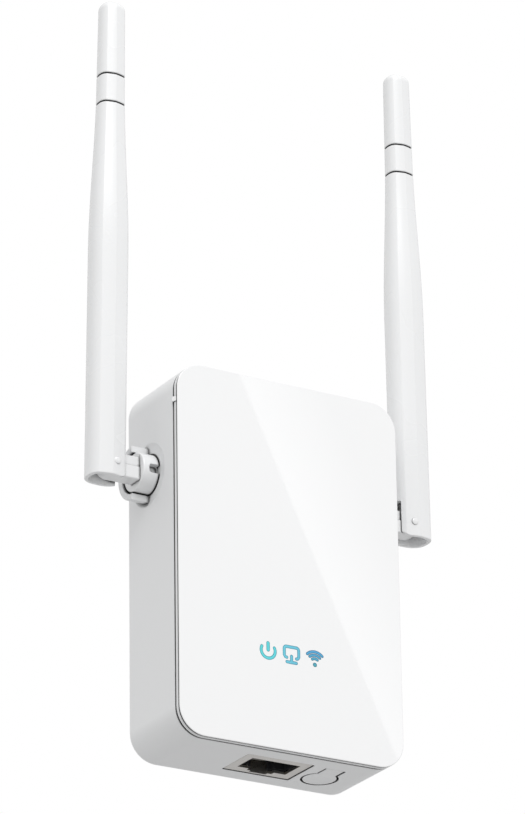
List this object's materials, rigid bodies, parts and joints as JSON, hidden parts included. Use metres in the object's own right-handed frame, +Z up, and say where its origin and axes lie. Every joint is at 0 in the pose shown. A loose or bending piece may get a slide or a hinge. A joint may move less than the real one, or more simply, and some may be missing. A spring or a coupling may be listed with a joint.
{
  "type": "wifi range extender",
  "caption": "Slim plug-in wifi range extender: rounded white housing with a glossy front panel, folding side antennas, mains blades at the back and an ethernet jack below.",
  "frame": {"origin": "midway between the two plug blades, on the flat back face of the housing, which rests against the wall plate", "axes": "+X right and +Z up as seen from the front, +Y into the wall"},
  "size_m": [0.0857, 0.039, 0.1727],
  "materials": {
    "housing_white": "satin moulded",
    "panel_gloss": "polished",
    "antenna_white": "smooth semi-gloss",
    "clear_plastic": "frosted clear",
    "board_green": "solder mask",
    "black_plastic": "moulded",
    "cable_grey": "thin jacket",
    "steel": "plated",
    "nickel": "nickel plate",
    "brass": "drawn",
    "amber_tape": "polyester tape",
    "ferrite": "fired, dull"
  },
  "bodies": {
    "housing": {"rear_housing": "housing_white", "front_cover": "housing_white", "front_panel": "panel_gloss", "light_guide": "clear_plastic", "led_power": "clear_plastic", "led_link": "clear_plastic", "led_wifi": "clear_plastic", "main_board": "board_green", "shield_can": "nickel", "wifi_chip": "black_plastic", "lan_magnetics": "black_plastic", "board_screw_1": "steel", "board_screw_2": "steel", "board_screw_3": "steel", "board_screw_4": "steel", "jack_shell": "steel", "jack_insert": "black_plastic", "jack_contact_1": "brass", "jack_contact_2": "brass", "jack_contact_3": "brass", "jack_contact_4": "brass", "jack_contact_5": "brass", "jack_contact_6": "brass", "jack_contact_7": "brass", "jack_contact_8": "brass", "switch_body": "black_plastic", "plug_blade_left": "nickel", "plug_blade_right": "nickel", "mains_contact_left": "brass", "mains_contact_right": "brass", "blade_carrier": "housing_white", "power_board": "board_green", "transformer_core": "ferrite", "transformer_winding": "amber_tape", "bulk_capacitor_1": "black_plastic", "bulk_capacitor_2": "black_plastic", "fuse_resistor": "amber_tape", "bridge_rectifier": "black_plastic", "power_header": "black_plastic", "friction_washer_left": "black_plastic", "friction_washer_right": "black_plastic", "coax_pigtail_left": "cable_grey", "coax_pigtail_right": "cable_grey"},
    "button": {"reset_button": "housing_white"},
    "plunger": {"switch_plunger": "housing_white"},
    "hinge_left": {"hinge_arm_left": "antenna_white", "retaining_clip_left": "steel"},
    "antenna_left": {"antenna_sleeve_left": "antenna_white", "hinge_pin_left": "steel", "radiator_left": "brass", "antenna_coax_left": "cable_grey"},
    "hinge_right": {"hinge_arm_right": "antenna_white", "retaining_clip_right": "steel"},
    "antenna_right": {"antenna_sleeve_right": "antenna_white", "hinge_pin_right": "steel", "radiator_right": "brass", "antenna_coax_right": "cable_grey"}
  },
  "joints": [
    {"name": "left_swivel", "type": "hinge", "parent": "housing", "child": "hinge_left", "pos_m": [-0.0293, -0.0091, 0.0054], "axis": [1, 0, 0], "range_deg": [0, 180]},
    {"name": "left_tilt", "type": "hinge", "parent": "hinge_left", "child": "antenna_left", "pos_m": [-0.0374, -0.00995, 0.0054], "axis": [0, -1, 0], "range_deg": [0, 91]},
    {"name": "right_swivel", "type": "hinge", "parent": "housing", "child": "hinge_right", "pos_m": [0.0293, -0.0091, 0.0054], "axis": [1, 0, 0], "range_deg": [0, 180]},
    {"name": "right_tilt", "type": "hinge", "parent": "hinge_right", "child": "antenna_right", "pos_m": [0.0374, -0.00995, 0.0054], "axis": [0, 1, 0], "range_deg": [0, 91]},
    {"name": "button_press", "type": "hinge", "parent": "housing", "child": "button", "pos_m": [0.0142, -0.0156, -0.05575], "axis": [1, 0, 0], "range_deg": [0, 5], "stiffness_Nm_per_rad": 0.03},
    {"name": "plunger_press", "type": "slide", "parent": "housing", "child": "plunger", "axis": [0, 0, 1], "range_m": [0, 0.0005]}
  ],
  "couplings": [
    {"joint": "plunger_press", "follows": "button_press", "m_per_rad": 0.0056}
  ]
}
